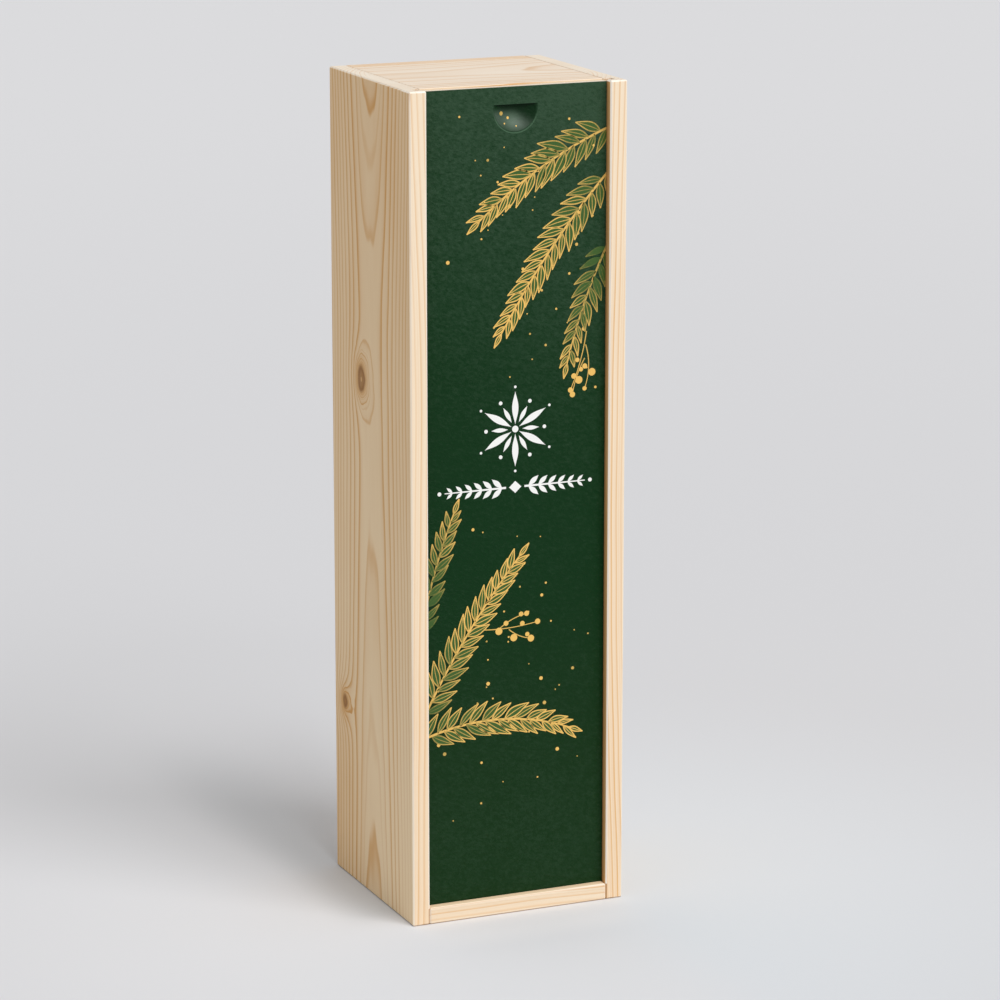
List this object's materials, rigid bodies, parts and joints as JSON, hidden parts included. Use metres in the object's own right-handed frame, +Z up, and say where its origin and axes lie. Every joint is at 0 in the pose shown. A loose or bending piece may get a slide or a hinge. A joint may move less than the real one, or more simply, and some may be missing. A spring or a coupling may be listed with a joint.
{
  "type": "wooden wine box",
  "caption": "Tall pine box for a bottle, with grooved sides and a painted lid that slides up and out by a thumb scoop.",
  "frame": {"origin": "middle of the base, on the surface the box stands on", "axes": "+Z up along the box, -Y out of the front where the lid is, +X to the right seen from the front"},
  "size_m": [0.102, 0.094, 0.372],
  "materials": {
    "side_pine": "planed and fine sanded, unvarnished",
    "panel_pine": "planed and fine sanded, unvarnished",
    "end_pine": "planed and fine sanded, unvarnished",
    "lid_paint": "matt dark green paint on the face, bare wood on the edges and back",
    "gold_print": "thin gold ink printed on the lid",
    "white_print": "thin white ink printed on the lid",
    "brad_steel": "bright drawn wire"
  },
  "bodies": {
    "case": {"left_side": "side_pine", "right_side": "side_pine", "back_panel": "panel_pine", "top_board": "end_pine", "bottom_board": "end_pine", "back_brads": "brad_steel"},
    "lid": {"lid": "lid_paint"}
  },
  "joints": [
    {"name": "lid_slide", "type": "slide", "parent": "case", "child": "lid", "axis": [0, 0, 1], "range_m": [0, 0.37]}
  ]
}
